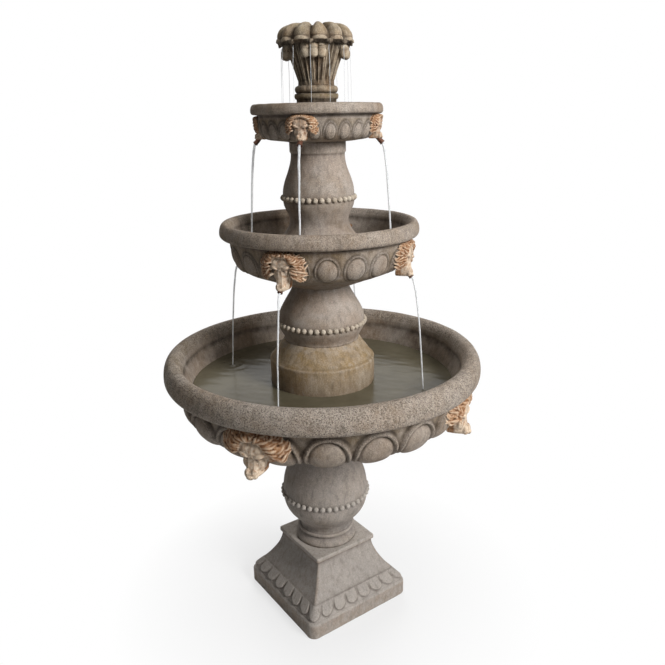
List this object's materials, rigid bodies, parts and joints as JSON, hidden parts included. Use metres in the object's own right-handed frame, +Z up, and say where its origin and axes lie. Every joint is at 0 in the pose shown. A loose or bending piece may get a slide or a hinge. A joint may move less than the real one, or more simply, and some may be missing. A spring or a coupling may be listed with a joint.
{
  "type": "garden fountain",
  "caption": "Tiered cast-stone garden fountain: egg-moulded bowls with lion masks on beaded balusters, a square plinth, a lobed finial and a pump under its drum cover.",
  "frame": {"origin": "on the ground under the middle of the square plinth", "axes": "+Z up along the fountain's axis; X and Y square to the plinth's sides"},
  "size_m": [0.9999, 1, 1.8578],
  "materials": {
    "stone_plinth": "weathered grey cast stone with brown edges",
    "stone_baluster": "weathered grey-brown cast stone",
    "stone_bowl": "weathered grey-brown cast stone, pitted rims",
    "stone_drum": "wet yellow-brown cast stone",
    "stone_finial": "grey-brown cast stone with olive stains",
    "stone_lion": "pale beige cast stone with rust-brown wash",
    "copper": "dull copper tube",
    "hose_plastic": "black flexible hose",
    "steel": "plain stainless steel",
    "pump_plastic": "black moulded plastic",
    "dial_plastic": "dark grey moulded plastic",
    "magnet": "dark sintered magnet",
    "rubber": "black rubber"
  },
  "bodies": {
    "base": {"plinth": "stone_plinth", "lower_baluster": "stone_baluster", "lower_basin": "stone_bowl", "lower_lion_mask_1": "stone_lion", "lower_lion_mask_2": "stone_lion", "lower_lion_mask_3": "stone_lion", "lower_lion_mask_4": "stone_lion", "pump_body": "pump_plastic", "pump_feet": "rubber", "rotor_shaft": "steel", "pump_outlet": "pump_plastic", "hose_clamp": "steel", "cord_gland": "rubber", "cord_stopper": "rubber", "riser_hose": "hose_plastic"},
    "pump_cover": {"pump_cover_drum": "stone_drum"},
    "middle_pedestal": {"middle_baluster": "stone_baluster"},
    "middle_tier": {"middle_bowl": "stone_bowl", "middle_lion_mask_1": "stone_lion", "middle_lion_mask_2": "stone_lion", "middle_lion_mask_3": "stone_lion", "middle_lion_mask_4": "stone_lion", "middle_spout_1": "copper", "middle_spout_2": "copper", "middle_spout_3": "copper", "middle_spout_4": "copper", "middle_bowl_grommet": "rubber"},
    "upper_pedestal": {"upper_baluster": "stone_baluster"},
    "top_tier": {"top_bowl": "stone_bowl", "top_lion_mask_1": "stone_lion", "top_lion_mask_2": "stone_lion", "top_lion_mask_3": "stone_lion", "top_lion_mask_4": "stone_lion", "top_spout_1": "copper", "top_spout_2": "copper", "top_spout_3": "copper", "top_spout_4": "copper", "top_bowl_grommet": "rubber"},
    "finial": {"finial_vase": "stone_finial", "finial_cap": "stone_finial", "riser_jet": "copper"},
    "intake_cover": {"pump_intake_cover": "pump_plastic"},
    "dial": {"flow_dial": "dial_plastic"},
    "rotor": {"rotor_magnet": "magnet", "pump_impeller": "pump_plastic"}
  },
  "joints": [
    {"name": "pump_cover_lift", "type": "slide", "parent": "base", "child": "pump_cover", "axis": [0, 0, 1], "range_m": [0, 0.25]},
    {"name": "middle_baluster_lift", "type": "slide", "parent": "pump_cover", "child": "middle_pedestal", "axis": [0, 0, 1], "range_m": [0, 0.06]},
    {"name": "middle_bowl_lift", "type": "slide", "parent": "middle_pedestal", "child": "middle_tier", "axis": [0, 0, 1], "range_m": [0, 0.06]},
    {"name": "upper_baluster_lift", "type": "slide", "parent": "middle_tier", "child": "upper_pedestal", "axis": [0, 0, 1], "range_m": [0, 0.16]},
    {"name": "top_bowl_lift", "type": "slide", "parent": "upper_pedestal", "child": "top_tier", "axis": [0, 0, 1], "range_m": [0, 0.06]},
    {"name": "finial_lift", "type": "slide", "parent": "top_tier", "child": "finial", "axis": [0, 0, 1], "range_m": [0, 0.1]},
    {"name": "intake_cover_slide", "type": "slide", "parent": "base", "child": "intake_cover", "axis": [1, 0, 0], "range_m": [0, 0.03]},
    {"name": "flow_dial_turn", "type": "hinge", "parent": "intake_cover", "child": "dial", "pos_m": [0.0276, 0, 0.728], "axis": [1, 0, 0], "range_deg": [0, 90]},
    {"name": "rotor_spin", "type": "hinge", "parent": "base", "child": "rotor", "pos_m": [0, 0, 0.728], "axis": [1, 0, 0], "continuous": true}
  ]
}
